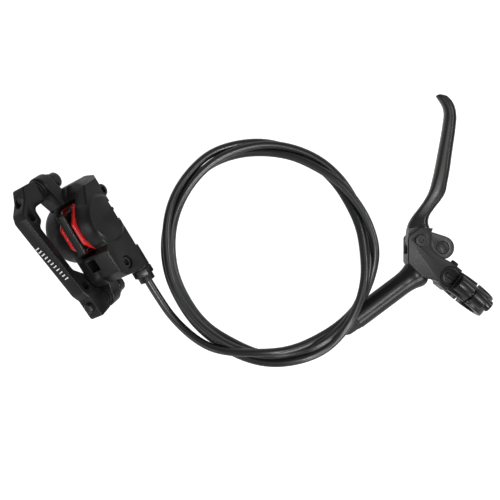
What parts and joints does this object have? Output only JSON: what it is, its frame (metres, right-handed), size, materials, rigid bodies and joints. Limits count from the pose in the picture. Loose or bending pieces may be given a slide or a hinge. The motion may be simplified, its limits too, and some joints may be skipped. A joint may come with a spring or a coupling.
{
  "type": "hydraulic disc brake",
  "caption": "Bicycle hydraulic disc brake: hand lever with master cylinder, coiled hose, post-mount caliper and mount adapter.",
  "frame": {"origin": "centre of the handlebar clamp's bore", "axes": "+Z along the lever's pivot, up from the surface that the brake lies on; +X from the caliper towards the lever"},
  "size_m": [0.2839, 0.1661, 0.0538],
  "materials": {
    "body_alloy": "satin black paint on cast aluminium",
    "lever_alloy": "satin black paint on forged aluminium",
    "caliper_alloy": "matt charcoal black paint on cast aluminium",
    "adapter_alloy": "black anodised aluminium, satin",
    "black_steel": "blackened steel",
    "bright_steel": "plain steel",
    "piston_alloy": "turned aluminium",
    "caliper_piston_resin": "moulded phenolic resin",
    "black_resin": "moulded black plastic",
    "bush_resin": "acetal",
    "black_rubber": "moulded black rubber",
    "hose_jacket": "smooth black polyamide over a braid",
    "brass": "turned brass",
    "pad_red": "glossy red paint on steel",
    "friction": "sintered friction compound"
  },
  "bodies": {
    "base": {"master_cylinder_body": "body_alloy", "clamp_cap": "body_alloy", "clamp_bolts": "black_steel", "lever_stop_pad": "black_rubber", "lever_pivot_bolt": "black_steel", "reservoir_cap": "body_alloy", "reservoir_diaphragm": "black_rubber", "return_spring": "bright_steel", "piston_retaining_ring": "bright_steel", "hose_olive": "brass", "hose_insert": "brass", "lever_hose_nut": "black_steel", "lever_hose_boot": "black_rubber", "hose_lead_lever": "hose_jacket", "hose_coil": "hose_jacket", "hose_lead_caliper": "hose_jacket", "caliper_outer_half": "caliper_alloy", "caliper_inner_half": "caliper_alloy", "body_bolts": "black_steel", "crossover_seal": "black_rubber", "outer_piston_seal": "black_rubber", "inner_piston_seal": "black_rubber", "pad_spring": "bright_steel", "pad_spacer": "black_resin", "pad_pin": "bright_steel", "pad_pin_clip": "bright_steel", "caliper_hose_nut": "black_steel", "bleed_screw": "black_steel", "mounting_bolts": "black_steel", "concave_washers": "black_steel", "convex_washers": "black_steel", "mount_adapter": "adapter_alloy"},
    "lever": {"lever_blade": "lever_alloy", "lever_bushings": "bush_resin"},
    "push_rod": {"push_rod": "bright_steel", "push_rod_dowel": "black_steel"},
    "master_piston": {"master_piston": "piston_alloy", "primary_seal": "black_rubber", "secondary_seal": "black_rubber"},
    "outer_pad": {"outer_piston": "caliper_piston_resin", "outer_pad_plate": "pad_red", "outer_pad_friction": "friction"},
    "inner_pad": {"inner_piston": "caliper_piston_resin", "inner_pad_plate": "pad_red", "inner_pad_friction": "friction"}
  },
  "joints": [
    {"name": "lever_pivot", "type": "hinge", "parent": "base", "child": "lever", "pos_m": [-0.029, 0.0312, 0], "axis": [0, 0, -1], "range_deg": [0, 20], "stiffness_Nm_per_rad": 0.4},
    {"name": "push_rod_swivel", "type": "hinge", "parent": "lever", "child": "push_rod", "pos_m": [-0.0153, 0.0269, 0], "axis": [0, 0, 1], "range_deg": [-0.5, 15.5]},
    {"name": "piston_slide", "type": "slide", "parent": "base", "child": "master_piston", "axis": [-0.8, -0.6, 0], "range_m": [-0.0001, 0.0048], "deforming": ["return_spring"]},
    {"name": "outer_pad_slide", "type": "slide", "parent": "base", "child": "outer_pad", "axis": [0.7721, 0.3187, 0.5499], "range_m": [-0.00001, 0.00032], "deforming": ["pad_spring"]},
    {"name": "inner_pad_slide", "type": "slide", "parent": "base", "child": "inner_pad", "axis": [-0.7721, -0.3187, -0.5499], "range_m": [-0.00001, 0.00032], "deforming": ["pad_spring"]}
  ],
  "couplings": [
    {"joint": "push_rod_swivel", "follows": "lever_pivot", "ratio": 0.744},
    {"joint": "piston_slide", "follows": "lever_pivot", "m_per_rad": 0.013477},
    {"joint": "outer_pad_slide", "follows": "lever_pivot", "m_per_rad": 0.000859},
    {"joint": "inner_pad_slide", "follows": "lever_pivot", "m_per_rad": 0.000859}
  ]
}
